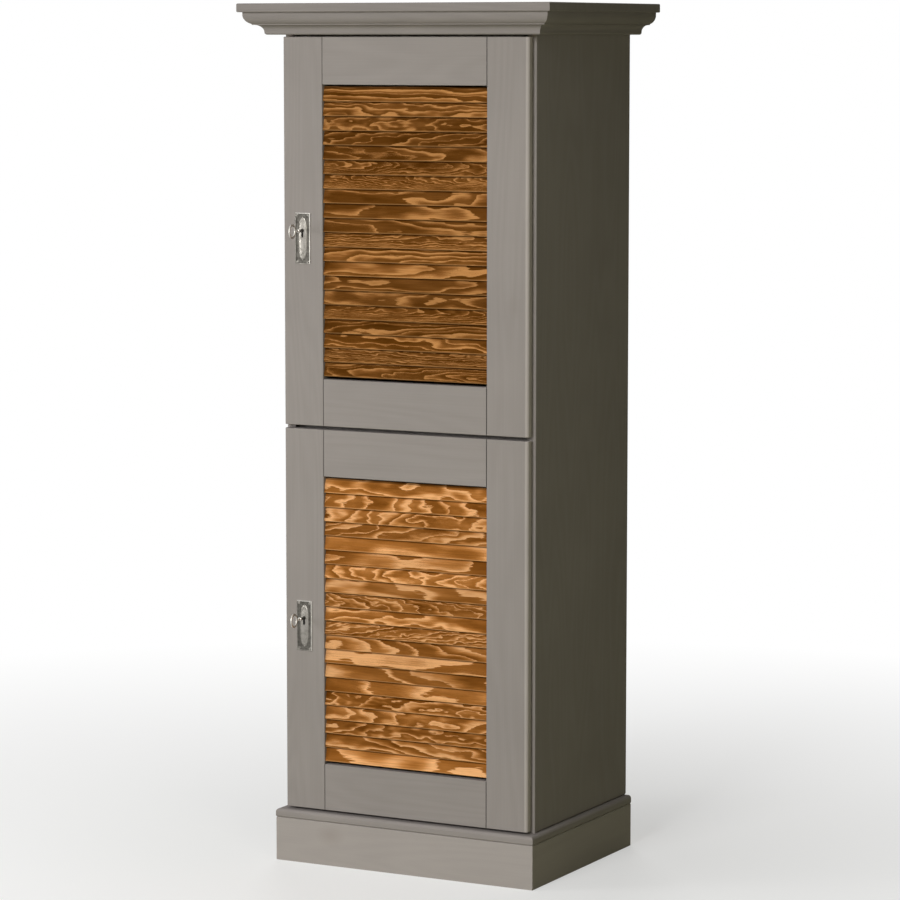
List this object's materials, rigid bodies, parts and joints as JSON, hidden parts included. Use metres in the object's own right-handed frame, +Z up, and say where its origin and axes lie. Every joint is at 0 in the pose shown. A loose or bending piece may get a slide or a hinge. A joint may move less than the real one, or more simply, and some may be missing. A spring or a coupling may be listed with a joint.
{
  "type": "louvred door cabinet",
  "caption": "Tall painted cupboard with stacked louvred doors, locks with keys, a moulded crown and a plinth, for linen or clothes.",
  "frame": {"origin": "on the floor, under the middle of the crown plate", "axes": "+Z up, -Y is the front with the doors, +X to the right of someone who faces the doors"},
  "size_m": [0.72, 0.52, 1.8],
  "materials": {
    "painted_pine": "satin taupe grey paint",
    "stained_pine": "brown stain, waxed",
    "bare_pine": "planed, unfinished",
    "back_board": "painted thin board",
    "aged_metal": "aged pewter",
    "plated_steel": "nickel plated",
    "screw_steel": "zinc plated",
    "bumper_rubber": "matt"
  },
  "bodies": {
    "carcass": {"back_panel": "back_board", "back_panel_screws": "screw_steel", "carcass_bottom": "painted_pine", "carcass_dowels": "bare_pine", "carcass_screws": "screw_steel", "carcass_top": "painted_pine", "crown_frame": "bare_pine", "crown_front": "painted_pine", "crown_left": "painted_pine", "crown_plate": "painted_pine", "crown_right": "painted_pine", "hardware_screws": "screw_steel", "lower_hinge_arms": "plated_steel", "lower_hinge_plates": "plated_steel", "lower_shelf": "painted_pine", "lower_strike": "plated_steel", "middle_shelf": "painted_pine", "plinth_back": "bare_pine", "plinth_cap_front": "painted_pine", "plinth_cap_left": "painted_pine", "plinth_cap_right": "painted_pine", "plinth_corner_blocks": "bare_pine", "plinth_front": "painted_pine", "plinth_left": "painted_pine", "plinth_right": "painted_pine", "shelf_pins": "plated_steel", "side_left": "painted_pine", "side_right": "painted_pine", "upper_hinge_arms": "plated_steel", "upper_hinge_plates": "plated_steel", "upper_shelf": "painted_pine", "upper_strike": "plated_steel"},
    "upper_door": {"upper_lock_stile": "painted_pine", "upper_hinge_stile": "painted_pine", "upper_bottom_rail": "painted_pine", "upper_top_rail": "painted_pine", "upper_louvres": "stained_pine", "upper_escutcheon": "aged_metal", "upper_escutcheon_pins": "aged_metal", "upper_lock_case": "plated_steel", "upper_door_screws": "screw_steel", "upper_hinge_cups": "plated_steel", "upper_hinge_pins": "plated_steel", "upper_bumpers": "bumper_rubber"},
    "upper_key": {"upper_key": "aged_metal"},
    "upper_bolt": {"upper_lock_bolt": "plated_steel"},
    "lower_door": {"lower_lock_stile": "painted_pine", "lower_hinge_stile": "painted_pine", "lower_bottom_rail": "painted_pine", "lower_top_rail": "painted_pine", "lower_louvres": "stained_pine", "lower_escutcheon": "aged_metal", "lower_escutcheon_pins": "aged_metal", "lower_lock_case": "plated_steel", "lower_door_screws": "screw_steel", "lower_hinge_cups": "plated_steel", "lower_hinge_pins": "plated_steel", "lower_bumpers": "bumper_rubber"},
    "lower_key": {"lower_key": "aged_metal"},
    "lower_bolt": {"lower_lock_bolt": "plated_steel"}
  },
  "joints": [
    {"name": "upper_door_hinge", "type": "hinge", "parent": "carcass", "child": "upper_door", "pos_m": [0.2755, -0.19, 1.33275], "axis": [0, 0, 1], "range_deg": [0, 100]},
    {"name": "upper_key_turn", "type": "hinge", "parent": "upper_door", "child": "upper_key", "pos_m": [-0.238, -0.2, 1.33275], "axis": [0, -1, 0], "range_deg": [0, 360]},
    {"name": "upper_bolt_throw", "type": "slide", "parent": "upper_door", "child": "upper_bolt", "axis": [-1, 0, 0], "range_m": [0, 0.0075]},
    {"name": "lower_door_hinge", "type": "hinge", "parent": "carcass", "child": "lower_door", "pos_m": [0.2755, -0.19, 0.52075], "axis": [0, 0, 1], "range_deg": [0, 100]},
    {"name": "lower_key_turn", "type": "hinge", "parent": "lower_door", "child": "lower_key", "pos_m": [-0.238, -0.2, 0.52075], "axis": [0, -1, 0], "range_deg": [0, 360]},
    {"name": "lower_bolt_throw", "type": "slide", "parent": "lower_door", "child": "lower_bolt", "axis": [-1, 0, 0], "range_m": [0, 0.0075]}
  ],
  "couplings": [
    {"joint": "upper_bolt_throw", "follows": "upper_key_turn", "m_per_rad": 0.0011937},
    {"joint": "lower_bolt_throw", "follows": "lower_key_turn", "m_per_rad": 0.0011937}
  ]
}
